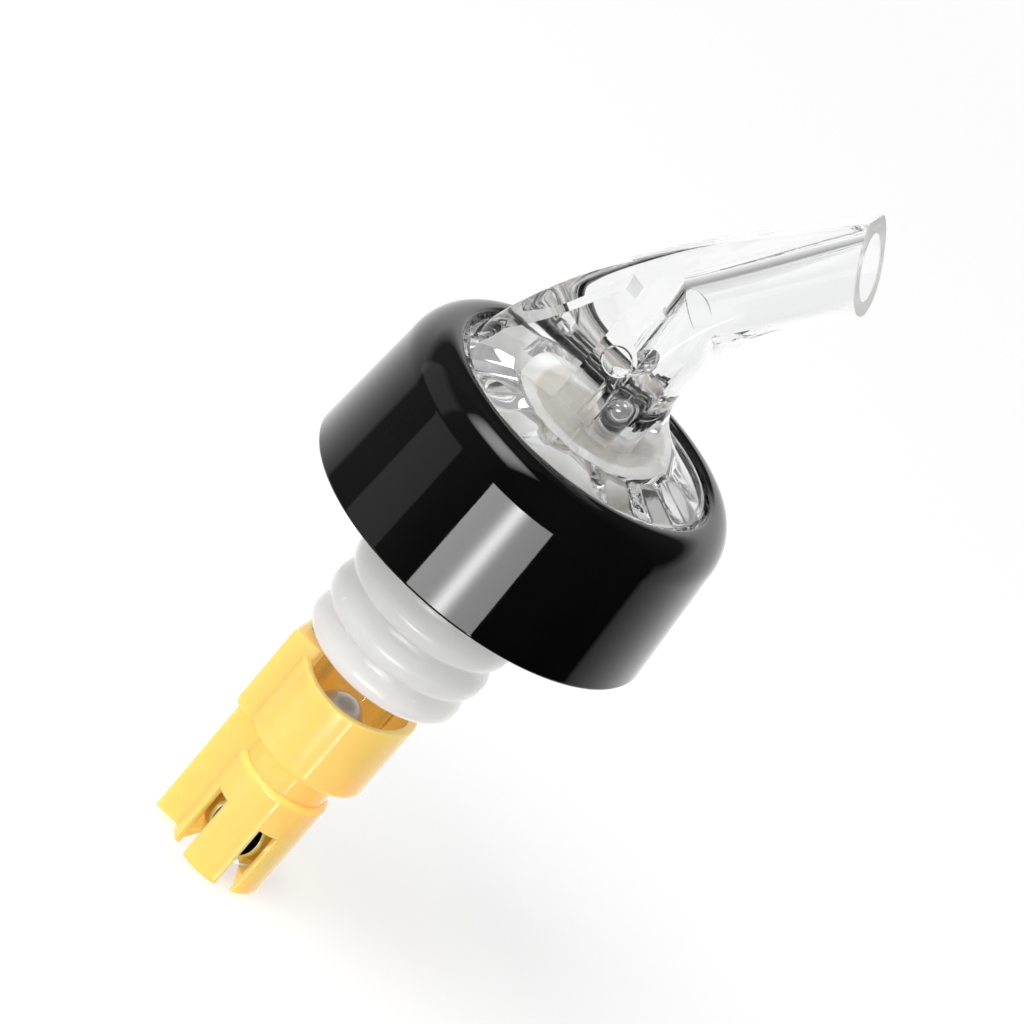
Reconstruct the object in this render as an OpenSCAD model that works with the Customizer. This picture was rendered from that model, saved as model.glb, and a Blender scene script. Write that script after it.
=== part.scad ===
// Measured pourer with three steel balls.
// A clear curved spout sits in a black collar over a ribbed stopper and a slotted metering tail.
// Frame: origin on the axis at the bottle lip seat, +Z up along the axis, +X toward the pouring side.
// All sizes in millimetres.

/* [Collar] */
// Outside diameter at the bottom rim
collar_d = 41; // [40:0.5:46]
// Height of the collar
collar_h = 18; // [17:0.5:21]
// Reach of the skirt below the lip seat
skirt_depth = 8; // [6:0.5:9]
// Wall thickness of the collar
collar_wall = 1.7; // [1.4:0.1:1.9]
// Draft of the side wall, in degrees
collar_draft = 4.5; // [2:0.1:4.8]
// Height of the rounded shoulder
collar_round = 4.6; // [2.5:0.1:5]
// Diameter of the top opening
opening_d = 30.8; // [29:0.2:31]
// Thickness of the lip round the opening
lip_t = 2; // [1.6:0.1:2.6]

/* [Spout] */
// Height of the mouth's upper edge above the collar
spout_h = 36.2; // [33:0.1:41]
// Distance of the mouth's lower edge from the axis
spout_reach = 14; // [12.5:0.1:16]
// Width of the horn across the spout
horn_w = 8.9; // [8.2:0.1:10]
// Radius of the pouring bore
pour_r = 3.15; // [2.4:0.05:3.25]
// Radius of the straight riser bore
riser_r = 2.9; // [2.85:0.05:3]
// Distance of the riser bore from the axis
riser_x = 1.5; // [1.2:0.1:1.6]
// Rise of the hollow under the flare
dome_rise = 2.4; // [1.6:0.1:2.8]
// Thickness of the flare over the hollow
dome_t = 1.9; // [1.5:0.1:2.2]
// Radius of the cross pin over the spout ball
pin_r = 1.7; // [1.4:0.05:1.9]

/* [Stopper] */
// Diameter of the top land that plugs the bottle
land_d = 20; // [19:0.1:21]
// Length of the top land
land_len = 3; // [2:0.5:4]
// Length of the plug below the lip seat
plug_len = 25.7; // [24:0.1:29]
// Thickness of the flange over the bottle lip
flange_t = 2.4; // [2:0.1:2.8]

/* [Measuring tube] */
// Outside radius of the measuring tube
tube_r = 4.5; // [4.3:0.05:4.55]
// Wall thickness of the measuring tube
tube_wall = 0.9; // [0.7:0.05:1]
// Outside radius of the breather tube
breather_r = 1.25; // [1.1:0.05:1.3]

/* [Tail] */
// Outside radius of the cup
cup_r = 7.05; // [6.9:0.05:7.4]
// Height of the cup
cup_h = 9.8; // [9:0.1:12]
// Gap between the stopper and the cup
inlet_gap = 2.7; // [2:0.1:5]
// Outside radius of the slotted barrel
barrel_r = 5.5; // [5.45:0.05:6]
// Length of the slotted barrel
barrel_h = 12.7; // [12.5:0.1:16]
// Width of the barrel slots
slot_w = 2.2; // [1.6:0.1:2.6]

/* [Balls] */
// Radius of the ball in the spout
spout_ball_r = 2.78; // [2.6:0.01:2.8]
// Radius of the ball in the measuring tube
timing_ball_r = 2.9; // [2.7:0.01:3]
// Radius of the ball in the slotted barrel
reset_ball_r = 4.37; // [4.2:0.01:4.4]

/* [Hidden] */
$fn = 96;

// Small play left between fitted pieces, and the play a ball keeps from its stops
fit = 0.02;
play = 0.08;
eps = 0.5;

// Levels of the collar and of the stack it holds
z_top = collar_h - skirt_depth;
z_lip = z_top - lip_t;
rim_step = 0.5;
bead = 0.6;
function collar_out(z) = collar_d / 2 - (z + skirt_depth) * tan(collar_draft);
function collar_in(z) = collar_out(z) - collar_wall;
stopper_flange_r = collar_in(flange_t) - 0.3;
spout_flange_r = collar_in(z_lip) - 0.35;
skirt_in_r = spout_flange_r - 2;
neck_r = opening_d / 2 - 0.3;
seat_face_r = 15.5;
land_r = land_d / 2;

// Levels of the disc that carries the spout ball
seat_r = 7.7;
seat_t = 2.8;
z_seat_top = z_top - 1.8;
z_seat_bottom = z_seat_top - seat_t;
tube_socket = 1;
z_tube_top = z_seat_bottom + tube_socket;
seat_port_r = 1.7;
seat_cone = 0.5;

// Rim of the flare, and the hollow under it as a spherical cap
z_rim = z_top - 0.5;
dome_r = (neck_r * neck_r + dome_rise * dome_rise) / (2 * dome_rise);
z_dome = z_rim + dome_rise - dome_r;
rim_edge = 0.3;

// Back and front lines of the horn in the symmetry plane, as cubic curves
horn_k = spout_h / 36.2;
mouth_set = 5.15;
mouth_drop = 8.45;
back_curve = [
    [-neck_r + 0.9, z_rim],
    [-neck_r + 3.4, z_top + 12.2 * horn_k],
    [-3, z_top + 21.9 * horn_k],
    [spout_reach - mouth_set, z_top + spout_h]
];
front_curve = [
    [riser_x + 5.1, z_rim],
    [riser_x + 2.85, z_top + 10.2 * horn_k],
    [riser_x + 2.75, z_top + 17 * horn_k],
    [spout_reach, z_top + spout_h - mouth_drop]
];
function bezier(p, t) = p[0] * pow(1 - t, 3) + p[1] * 3 * t * pow(1 - t, 2)
    + p[2] * 3 * t * t * (1 - t) + p[3] * pow(t, 3);
function lerp(a, b, t) = a + (b - a) * t;
horn_rings = 30;
half_count = 18;
horn_sides = 2 * half_count + 2;

// Flare that spreads the foot of the horn to a round rim
flare_r = neck_r - 0.7;
flare_end = 0.28;
function flare(t) = t < flare_end ? pow(1 - t / flare_end, 2.4) : 0;

// Half width of a section between its flat back, at -1, and its front, at 1
flat_back = 0.55;
widest = 0.1;
function flat_front(g) = 0.03 + 0.4 * pow(g, 0.25);
function corner(p) = p < -0.9 ? lerp(0.8, 1, sqrt(1 - pow((p + 0.9) / 0.1, 2))) : 1;
function section(p, front) = p < widest
    ? corner(p) * (1 - (1 - flat_back) * pow(1 - (p + 1) / (widest + 1), 3))
    : sqrt(1 - (1 - front * front) * pow((p - widest) / (1 - widest), 2));

// Pouring bore from the mouth to the riser
mouth = (back_curve[3] + front_curve[3]) / 2;
elbow = [riser_x, z_top + 17.3 * horn_k];
pour_dir = (mouth - elbow) / norm(mouth - elbow);
pour_lap = 0.6;
pour_len = norm(mouth - elbow) + pour_lap;
pour_angle = atan2(pour_dir[0], pour_dir[1]);
z_riser_top = elbow[1] + 1.2;

// Cross pin, and the spout ball's rest and travel
pin_x = riser_x - 2.6;
z_pin = z_top + 8.2;
z_spout_ball = z_seat_top - seat_cone - seat_port_r + spout_ball_r * sqrt(2) + play;

// Triangular pocket in the web of the horn
pocket_w = 4.6;
pocket_right = riser_x - riser_r - 2.4;
pocket_left = -neck_r + 3.8;
pocket_top = 13.9 * horn_k;
pocket_tip = 1.3;
vent_r = 0.9;

// Ribs of the stopper: bands that swell gently downwards and round in to the next groove
rib_pitch = 4.35;
rib_count = 4;
end_len = 4.05;
end_round = 1.6;
rib_steps = 16;
rib_peak = 0.6;
function rib_r(k) = land_r - 0.1 - 0.8 * pow(k / rib_count, 2.4);
function groove_z(k) = end_len - plug_len + (rib_count - k) * rib_pitch;
function core_r(z) = land_r - 0.8 + 0.6 * z / plug_len;
function swell(t) = t < rib_peak
    ? pow(sin(180 * max(t - 0.1, 0)), 2)
    : sqrt(1 - pow((t - rib_peak) / (1 - rib_peak), 2));
hub_r = 5.15;

// Breather line
breather_x = -6.5;
breather_bore = breather_r - 0.35;
breather_seat = 3;
z_breather_top = flange_t + 1.6;

// Levels of the tail, from the cup down
z_cup_top = -plug_len - inlet_gap;
z_cup_bottom = z_cup_top - cup_h;
cup_wall = 0.95;
z_floor = z_cup_bottom + 2.6;
z_tube_bottom = z_floor - tube_socket;
tube_bore_r = tube_r - tube_wall;
orifice_r = 1.2;
z_orifice = z_floor - 0.2;
rim_dip = 0.9;
panel_x = cup_r + 1.5;
panel_rise = 1.1;
z_panel_top = z_cup_top + panel_rise;
panel_w = 7.1;
panel_foot = 1.3;
bar_edge = 0.45;
leg_x = cup_r + 1.03;
leg_w = 4.8;
rib_w = 4.4;
neck_h = 3.4;
tail_neck_r = barrel_r - 0.65;
z_barrel_top = z_cup_bottom - neck_h;
z_barrel_bottom = z_barrel_top - barrel_h;
barrel_bore_r = reset_ball_r + 0.28;
z_cone_top = z_barrel_top - 0.9;
z_cone_bottom = z_cone_top - (barrel_bore_r - orifice_r);
slot_h = 8.2;
slot_angle = 54;
leg_short = 1;
tail_edge = 0.6;

// Nubs that carry the lowest ball, and the rest levels of the two lower balls
nub_r = 2.9;
z_nub = z_barrel_bottom + 2.1;
z_reset_ball = z_nub + sqrt(reset_ball_r * reset_ball_r - nub_r * nub_r) + play;
z_timing_ball = z_orifice + sqrt(timing_ball_r * timing_ball_r - orifice_r * orifice_r) + play;

// Half profile of the collar, from the bottom rim round the outside to the opening and back inside
module collar_profile() {
    edge = 0.5;
    cx = opening_d / 2 + edge;
    cz = z_top - collar_round;
    start = atan(tan(collar_draft) * collar_round / (collar_out(cz) - cx));
    reach = (collar_out(cz + collar_round * sin(start)) - cx) / cos(start);
    polygon(concat(
        [[collar_in(-skirt_depth) + 0.3, -skirt_depth]],
        [[collar_out(-skirt_depth) - 0.3, -skirt_depth]],
        [[collar_out(-skirt_depth + 0.3), -skirt_depth + 0.3]],
        [for (i = [0:16])
            let (a = lerp(start, 90, i / 16)) [cx + reach * cos(a), cz + collar_round * sin(a)]],
        [for (i = [0:4])
            let (a = 90 + 90 * i / 4)
            [cx + edge * cos(a), z_top - edge + edge * sin(a)]],
        [[opening_d / 2, z_lip]],
        [[collar_in(z_lip), z_lip]],
        [[collar_in(rim_step), rim_step]],
        [[stopper_flange_r - bead, rim_step]],
        [[stopper_flange_r - bead, rim_step - 0.4]],
        [[collar_in(-0.9), -0.9]],
        [[collar_in(-skirt_depth + 0.3), -skirt_depth + 0.3]]
    ));
}

module collar() {
    color([0.02, 0.02, 0.02])
        rotate_extrude($fn = 160)
            collar_profile();
}

// Closed loft of the horn: from the round rim of the flare to the obliquely cut mouth
module horn() {
    points = [for (i = [0:horn_rings])
        let (
            t = i / horn_rings,
            g = flare(t),
            b = bezier(back_curve, t) - [(flare_r + back_curve[0][0]) * g, 0],
            f = bezier(front_curve, t) + [(flare_r - front_curve[0][0]) * g, 0],
            m = (b + f) / 2,
            h = (f - b) / 2,
            w = lerp(horn_w / 2, flare_r, g)
        )
        for (j = [0:horn_sides - 1])
            let (
                a = 180 * (j <= half_count ? j : horn_sides - 1 - j) / half_count,
                p = -cos(a),
                q = lerp(section(p, flat_front(g)), sin(a), 0.96 * g) * (j <= half_count ? -1 : 1)
            )
            [m[0] + h[0] * p, w * q, m[1] + h[1] * p]
    ];
    sides = [for (i = [0:horn_rings - 1])
        for (j = [0:horn_sides - 1])
            let (k = (j + 1) % horn_sides)
            for (s = [0:1])
                s == 0
                    ? [i * horn_sides + j, (i + 1) * horn_sides + j, i * horn_sides + k]
                    : [i * horn_sides + k, (i + 1) * horn_sides + j, (i + 1) * horn_sides + k]
    ];
    foot = [for (j = [0:horn_sides - 1]) j];
    head = [for (j = [0:horn_sides - 1]) horn_rings * horn_sides + horn_sides - 1 - j];
    polyhedron(points, concat(sides, [foot], [head]), convexity = 6);
}

// Shallow hollow under the flare
module hollow() {
    intersection() {
        translate([0, 0, z_dome])
            sphere(r = dome_r - dome_t, $fn = 200);
        translate([0, 0, flange_t - eps])
            cylinder(r = skirt_in_r, h = 40);
    }
}

module pour_bore() {
    translate([elbow[0] - pour_lap * pour_dir[0], 0, elbow[1] - pour_lap * pour_dir[1]])
        rotate([0, pour_angle, 0])
            cylinder(r = pour_r, h = pour_len + 12);
}

module horn_pocket() {
    rotate([90, 0, 0])
        linear_extrude(height = pocket_w, center = true)
            polygon([
                [pocket_left, z_seat_bottom - eps],
                [pocket_right, z_seat_bottom - eps],
                [pocket_right, z_top + pocket_top],
                [pocket_right - pocket_tip, z_top + pocket_top],
                [pocket_left, z_top + 1.5]
            ]);
}

module spout() {
    color([0.86, 0.9, 0.92, 0.35])
    difference() {
        union() {
            difference() {
                union() {
                    translate([0, 0, z_lip - eps])
                        cylinder(r = neck_r, h = z_rim - z_lip + eps - rim_edge);
                    translate([0, 0, z_rim - rim_edge])
                        cylinder(r1 = neck_r, r2 = neck_r - rim_edge, h = rim_edge);
                    translate([0, 0, flange_t])
                        cylinder(r = spout_flange_r, h = z_lip - flange_t);
                    horn();
                }
                hollow();
            }
            translate([0, 0, z_seat_bottom])
                cylinder(r = seat_r + 1.2, h = z_top - z_seat_bottom + 0.6);
        }
        translate([0, 0, z_seat_bottom - eps])
            cylinder(r = seat_r + fit, h = seat_t + eps);
        translate([riser_x, 0, z_seat_top - eps])
            cylinder(r = riser_r, h = z_riser_top - z_seat_top + eps);
        pour_bore();
        horn_pocket();
        translate([pin_x, riser_r + 0.6, z_pin])
            rotate([90, 0, 0])
                cylinder(r = pin_r + fit, h = horn_w);
        translate([(pocket_left + pocket_right) / 2, 0, z_top + 3.6])
            rotate([-90, 0, 0])
                cylinder(r = vent_r, h = neck_r);
    }
}

module stop_pin() {
    color([0.86, 0.9, 0.92, 0.35])
        translate([pin_x, riser_r + 0.6, z_pin])
            rotate([90, 0, 0])
                cylinder(r = pin_r, h = horn_w / 2 + riser_r + 0.4);
}

module ball_seat() {
    color([0.9, 0.88, 0.82])
    difference() {
        translate([0, 0, z_seat_bottom])
            cylinder(r = seat_r, h = seat_t);
        translate([0, 0, z_seat_bottom - eps])
            cylinder(r = tube_r + fit, h = tube_socket + eps);
        translate([riser_x / 2, 0, z_tube_top - eps])
            cylinder(r = seat_port_r + riser_x / 2, h = 0.6 + eps);
        translate([riser_x, 0, z_tube_top])
            cylinder(r = seat_port_r, h = seat_t);
        translate([riser_x, 0, z_seat_top - seat_cone])
            cylinder(r1 = seat_port_r, r2 = seat_port_r + seat_cone, h = seat_cone);
        translate([riser_x, 0, z_seat_top])
            cylinder(r = seat_port_r + seat_cone, h = eps);
    }
}

module spout_ball() {
    color([0.75, 0.75, 0.77])
        translate([riser_x, 0, z_spout_ball])
            sphere(r = spout_ball_r);
}

// Half profile of the ribbed plug, from its end up to the top land
module plug_profile() {
    end_r = rib_r(rib_count);
    polygon(concat(
        [[0, -plug_len]],
        [for (i = [0:8])
            let (s = 90 * i / 8)
            [end_r - end_round * (1 - sin(s)), -plug_len + end_round * (1 - cos(s))]],
        [for (i = [rib_steps - 1:-1:0])
            let (z = groove_z(rib_count) - (end_len - end_round) * i / rib_steps)
            [lerp(core_r(z), end_r, swell(rib_peak * i / rib_steps)), z]],
        [for (k = [rib_count - 1:-1:0])
            for (i = [rib_steps - 1:-1:0])
                let (z = groove_z(k) - rib_pitch * i / rib_steps)
                [lerp(core_r(z), rib_r(k), swell(i / rib_steps)), z]],
        [[core_r(-land_len - 0.4), -land_len - 0.4]],
        [[land_r - 0.4, -land_len - 0.4]],
        [[land_r, -land_len]],
        [[land_r, eps]],
        [[0, eps]]
    ));
}

module stopper() {
    color([0.92, 0.92, 0.9])
    difference() {
        union() {
            translate([0, 0, rim_step])
                cylinder(r = stopper_flange_r, h = flange_t - rim_step);
            cylinder(r = seat_face_r, h = flange_t);
            cylinder(r = hub_r, h = z_seat_bottom);
            rotate_extrude($fn = 120)
                plug_profile();
        }
        translate([0, 0, -plug_len - eps])
            cylinder(r = tube_r + fit, h = plug_len + z_seat_bottom + 2 * eps);
        translate([breather_x, 0, -plug_len - eps])
            cylinder(r = breather_r + fit, h = plug_len + flange_t + 2 * eps);
    }
}

module measuring_tube() {
    color([0.88, 0.92, 0.94, 0.35])
    difference() {
        translate([0, 0, z_tube_bottom])
            cylinder(r = tube_r, h = z_tube_top - z_tube_bottom);
        translate([0, 0, z_tube_bottom - eps])
            cylinder(r = tube_bore_r, h = z_tube_top - z_tube_bottom - 1.4 + eps);
        translate([0, 0, z_tube_top - 2])
            cylinder(r = seat_port_r, h = 3);
    }
}

module timing_ball() {
    color([0.75, 0.75, 0.77])
        translate([0, 0, z_timing_ball])
            sphere(r = timing_ball_r);
}

module breather_tube() {
    color([0.88, 0.92, 0.94, 0.5])
    translate([breather_x, 0, z_cup_top - breather_seat])
        difference() {
            cylinder(r = breather_r, h = z_breather_top - z_cup_top + breather_seat);
            translate([0, 0, -eps])
                cylinder(r = breather_bore, h = z_breather_top - z_cup_top + breather_seat + 2 * eps);
        }
}

// Outline of a bar across the axis, with its two outer edges rounded
function bar_outline(x, inner, w, r) = concat(
    [[-inner, -w / 2], [-inner, w / 2]],
    [for (i = [0:6]) [-x + r - r * sin(15 * i), w / 2 - r + r * cos(15 * i)]],
    [for (i = [0:6]) [-x + r - r * cos(15 * i), -w / 2 + r - r * sin(15 * i)]]
);

// Raised panel over the air channel, with a rounded foot
module panel() {
    intersection() {
        translate([0, 0, z_cup_bottom])
            linear_extrude(height = z_panel_top - z_cup_bottom)
                polygon(bar_outline(panel_x, 4, panel_w, bar_edge));
        rotate([90, 0, 0])
            linear_extrude(height = panel_w + 1, center = true)
                polygon(concat(
                    [[-3, z_cup_bottom - eps], [-3, z_panel_top + eps], [-panel_x + bar_edge, z_panel_top + eps]],
                    [for (i = [0:6])
                        [-panel_x + bar_edge - bar_edge * sin(15 * i), z_panel_top - bar_edge * (1 - cos(15 * i))]],
                    [for (i = [0:6])
                        [-panel_x + panel_foot * (1 - cos(15 * i)), z_cup_bottom + panel_foot * (1 - sin(15 * i))]],
                    [[-panel_x + panel_foot, z_cup_bottom - eps]]
                ));
    }
}

// Turned block with a rounded lower edge and a rounded upper edge
module turned_block(r, z0, z1, low, high) {
    rotate_extrude($fn = 120)
        polygon(concat(
            [[0, z0]],
            [for (i = [0:6]) [r - low * (1 - sin(15 * i)), z0 + low * (1 - cos(15 * i))]],
            [for (i = [0:6]) [r - high * (1 - cos(15 * i)), z1 - high * (1 - sin(15 * i))]],
            [[0, z1]]
        ));
}

// Cup with a dished rim, and the panel over the air channel
module tail_cup() {
    dip_r = (cup_r * cup_r + rim_dip * rim_dip) / (2 * rim_dip);
    difference() {
        union() {
            difference() {
                turned_block(cup_r, z_cup_bottom, z_cup_top, tail_edge, rim_edge);
                translate([0, 0, z_cup_top - rim_dip + dip_r])
                    rotate([90, 0, 0])
                        cylinder(r = dip_r, h = 4 * cup_r, center = true, $fn = 200);
            }
            panel();
        }
        difference() {
            translate([0, 0, z_floor])
                cylinder(r = cup_r - cup_wall, h = z_panel_top - z_floor + eps);
            translate([-panel_x, -rib_w / 2, z_floor - eps])
                cube([panel_x - tube_r - 0.25, rib_w, z_panel_top - z_floor + 2 * eps]);
            translate([0, 0, z_floor - eps])
                cylinder(r = tube_bore_r - 0.2, h = z_orifice - z_floor + eps);
        }
        translate([0, 0, z_tube_bottom])
            difference() {
                cylinder(r = tube_r + fit, h = z_panel_top - z_tube_bottom + eps);
                translate([0, 0, -eps])
                    cylinder(r = tube_bore_r - 0.2, h = z_orifice - z_tube_bottom + eps);
            }
    }
}

module tail_slots() {
    for (a = [slot_angle, 180 - slot_angle, 180 + slot_angle, 360 - slot_angle])
        rotate([0, 0, a])
            translate([0, -slot_w / 2, z_barrel_bottom - eps])
                cube([barrel_r + eps, slot_w, slot_h + eps]);
}

module metering_tail() {
    color([0.98, 0.8, 0.33])
    difference() {
        union() {
            tail_cup();
            translate([0, 0, z_barrel_top - eps])
                cylinder(r = tail_neck_r, h = neck_h + 2 * eps);
            turned_block(barrel_r, z_barrel_bottom, z_barrel_top, tail_edge, tail_edge);
            translate([0, 0, z_barrel_bottom + leg_short])
                linear_extrude(height = z_cup_bottom - z_barrel_bottom - leg_short + eps)
                    polygon(bar_outline(leg_x, tail_neck_r - 1, leg_w, bar_edge));
        }
        translate([0, 0, z_barrel_bottom])
            difference() {
                translate([0, 0, -eps])
                    cylinder(r = barrel_bore_r, h = z_cone_bottom - z_barrel_bottom + eps);
                translate([0, 0, z_nub - z_barrel_bottom - 1.4])
                    difference() {
                        cylinder(r = barrel_bore_r + eps, h = 1.4);
                        cylinder(r1 = barrel_bore_r, r2 = nub_r, h = 1.4);
                    }
            }
        translate([0, 0, z_cone_bottom])
            cylinder(r1 = barrel_bore_r, r2 = orifice_r, h = z_cone_top - z_cone_bottom);
        translate([0, 0, z_cone_top - eps])
            cylinder(r = orifice_r, h = z_orifice - z_cone_top + 2 * eps);
        translate([breather_x, 0, z_barrel_bottom - eps])
            cylinder(r = breather_bore, h = z_cup_top - z_barrel_bottom);
        translate([breather_x, 0, z_cup_top - breather_seat])
            cylinder(r = breather_r + fit, h = breather_seat + panel_rise + eps);
        tail_slots();
    }
}

module reset_ball() {
    color([0.75, 0.75, 0.77])
        translate([0, 0, z_reset_ball])
            sphere(r = reset_ball_r);
}

collar();
spout();
stop_pin();
ball_seat();
stopper();
measuring_tube();
breather_tube();
metering_tail();
spout_ball();
timing_ball();
reset_ball();
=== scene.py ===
"""Looks of the measured pourer: clear spout, black collar, white stopper, yellow tail and steel balls.

Every shape is worked out in millimetres with numpy and put into its mesh in metres.
The axis of the pourer is Z, the spout pours towards +X, and the bottle's lip seats at z = 0.
"""

import math

import bpy
import numpy as np
from mathutils import Matrix, Vector


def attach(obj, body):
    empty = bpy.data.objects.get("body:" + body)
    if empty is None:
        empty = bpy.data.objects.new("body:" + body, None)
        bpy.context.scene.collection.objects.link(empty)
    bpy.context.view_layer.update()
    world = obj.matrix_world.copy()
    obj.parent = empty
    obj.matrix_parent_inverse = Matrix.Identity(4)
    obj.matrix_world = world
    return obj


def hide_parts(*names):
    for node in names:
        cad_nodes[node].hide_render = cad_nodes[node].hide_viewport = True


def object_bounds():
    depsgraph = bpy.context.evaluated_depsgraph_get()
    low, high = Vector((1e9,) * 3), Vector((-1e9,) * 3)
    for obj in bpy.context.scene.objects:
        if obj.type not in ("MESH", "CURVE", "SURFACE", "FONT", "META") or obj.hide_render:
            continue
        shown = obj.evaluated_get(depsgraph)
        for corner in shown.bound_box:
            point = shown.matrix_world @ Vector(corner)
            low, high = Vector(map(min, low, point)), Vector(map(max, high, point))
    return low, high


MM = 0.001
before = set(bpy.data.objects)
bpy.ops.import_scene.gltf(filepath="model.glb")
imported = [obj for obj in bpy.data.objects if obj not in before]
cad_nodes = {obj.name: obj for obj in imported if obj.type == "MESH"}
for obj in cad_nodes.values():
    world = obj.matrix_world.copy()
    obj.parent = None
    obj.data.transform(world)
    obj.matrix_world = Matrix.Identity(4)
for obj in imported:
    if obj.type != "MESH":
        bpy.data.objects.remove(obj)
cad_low, cad_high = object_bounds()
scene = bpy.context.scene

# Sizes of the collar, in millimetres, as the solid has them
RIM_R = 20.5
SKIRT_Z = -8.0
SKIRT_EDGE = 0.35
SKIRT_BEVEL = 0.3
WALL_START = (0.43, 0.5)
WALL_END = 0.1
DRAFT = math.tan(math.radians(4.5))
WALL = 1.7
SHOULDER = 4.6
OPENING_R = 15.4
LIP_EDGE = 0.5
Z_TOP = 10.0
Z_LIP = 8.0
STEP_Z = 0.5
BEAD_R = 17.08
BEAD_LEN = 0.4
BEAD_FOOT_Z = -0.9

# Sizes of the spout
Z_RIM = 9.5
RIM_BEVEL = 0.3
FLANGE_Z = 2.4
FLANGE_R = 17.191
NECK_R = 15.1
SKIRT_R = 15.191
HOLLOW_R = 46.80
HOLLOW_Z = -36.80
FLUTES = 14
FLUTE_DEPTH = 0.45
FLUTE_COLUMNS = 16
SEAT_R = 7.72
SEAT_Z = (5.4, 8.2)
PLUG_R = 8.9
PLUG_LAP = 0.9
PLUG_RISE = 0.6
RISER_X = 1.5
RISER_R = 2.9
RISER_TOP = 28.5
ELBOW = np.array([1.5, 27.3])
MOUTH = np.array([11.425, 41.975])
POUR_R = 3.15
POUR_LAP = 0.6
POUR_OVERRUN = 12
PIN = np.array([-1.1, 18.2])
PIN_R = 1.7
PIN_Y = (3.5, -4.25)
PIN_BEVEL = 0.2
PIN_FIT = 0.02
PIN_HOLE_END = -6
POCKET = [(-11.3, 4.9), (-3.8, 4.9), (-3.8, 23.9), (-5.1, 23.9), (-11.3, 11.5)]
POCKET_W = 4.6
VENT = np.array([-7.55, 13.6])
VENT_R = 0.9
CUT_LAP = 0.5

# Sizes of the spout's horn; a section's width goes from -1 at its back to 1 at its front
HORN_W = 4.45
HORN_LAP = 0.3
RING_CROWDING = 1.35
FLARE_R = 14.4
FLARE_END = 0.28
FLARE_POWER = 2.4
FLARE_ROUND = 0.96
FLAT_BACK = 0.55
BACK_CORNER = 0.1
BACK_CORNER_DROP = 0.2
FLAT_FRONT = 0.03
FLAT_FRONT_FOOT = 0.4
FLAT_FRONT_POWER = 0.25
WIDEST = 0.1
BACK = np.array([(-14.2, 9.5), (-11.7, 22.2), (-3.0, 31.9), (8.85, 46.2)])
FRONT = np.array([(6.6, 9.5), (4.35, 20.2), (4.25, 27.0), (14.0, 37.75)])
MOUTH_LINE = BACK[3] - FRONT[3]
MOUTH_WAY = np.array([MOUTH_LINE[1], -MOUTH_LINE[0]]) / np.linalg.norm(MOUTH_LINE)
MOUTH_SKIN = 0.1

# Sizes of the stopper
LAND_R = 10.0
LAND_LEN = 3.0
LAND_EDGE = 0.4
PLUG_LEN = 25.7
CORE_DEPTH = 0.8
CORE_TAPER = 0.6
RIBS = 4
RIB_PITCH = 4.35
RIB_START = 0.1
RIB_PEAK = 0.6
RIB_DROP = 0.1
RIB_TAPER = 0.8
RIB_TAPER_POWER = 2.4
END_LEN = 4.05
END_ROUND = 1.6
STOPPER_BORE = 4.52
BREATHER_X = -6.5
BREATHER_HOLE_R = 1.27
BREATHER_OVERRUN = 1
HUB_R = 5.15
SEAT_FACE_R = 15.5
STOPPER_FLANGE_R = 17.68

# How near a face of the pin or of its hole has to be to count as welded
SEAM_SLACK = 0.03
SEAM_END_SLACK = 0.01
SEAM_BARE_END = 0.15
SEAM_RISER_SLACK = 0.05


def mesh_piece(name, points, faces):
    """A mesh object at the origin, in metres, of points in millimetres and faces as point numbers."""
    mesh = bpy.data.meshes.new(name)
    mesh.from_pydata((np.asarray(points, float) * MM).tolist(), [], faces)
    mesh.validate()
    piece = bpy.data.objects.new(name, mesh)
    scene.collection.objects.link(piece)
    return piece


def ring_faces(rings, columns, loop=False):
    """Four-sided faces of a grid of closed rings; loop joins the last ring to the first.

    They point out where the rings run anticlockwise upwards.
    """
    i, j = np.meshgrid(np.arange(rings if loop else rings - 1), np.arange(columns), indexing="ij")
    k, n = (j + 1) % columns, (i + 1) % rings
    quads = np.stack([i * columns + j, i * columns + k, n * columns + k, n * columns + j], -1)
    return quads.reshape(-1, 4).tolist()


def capped_grid(name, grid):
    """A closed piece from a grid of rings, (rings, columns, 3): flat caps close the first and last ring."""
    rings, columns, _ = grid.shape
    faces = ring_faces(rings, columns)
    faces.append(list(range(columns))[::-1])
    faces.append(list(range((rings - 1) * columns, rings * columns)))
    return mesh_piece(name, grid.reshape(-1, 3), faces)


def turned(name, profile, columns=224, lift=0.0):
    """A turned ring: each point (r, z) of a closed profile goes round as (r cos a, r sin a, z + lift).

    The profile runs anticlockwise. lift may be a grid with a row for each point of the profile.
    """
    r, z = np.asarray(profile, float).T
    a = np.linspace(0, 2 * np.pi, columns, endpoint=False)
    height = np.repeat(z[:, None], columns, 1) + lift
    grid = np.stack([np.outer(r, np.cos(a)), np.outer(r, np.sin(a)), height], -1)
    return mesh_piece(name, grid.reshape(-1, 3), ring_faces(len(r), columns, loop=True))


def arc(centre, radii, start, end, count):
    """Points of an ellipse arc: centre plus the radii times the cosine and sine of an angle.

    The angle goes from start to end, in degrees.
    """
    a = np.radians(np.linspace(start, end, count))
    return np.stack([centre[0] + radii[0] * np.cos(a), centre[1] + radii[1] * np.sin(a)], -1)


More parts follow.
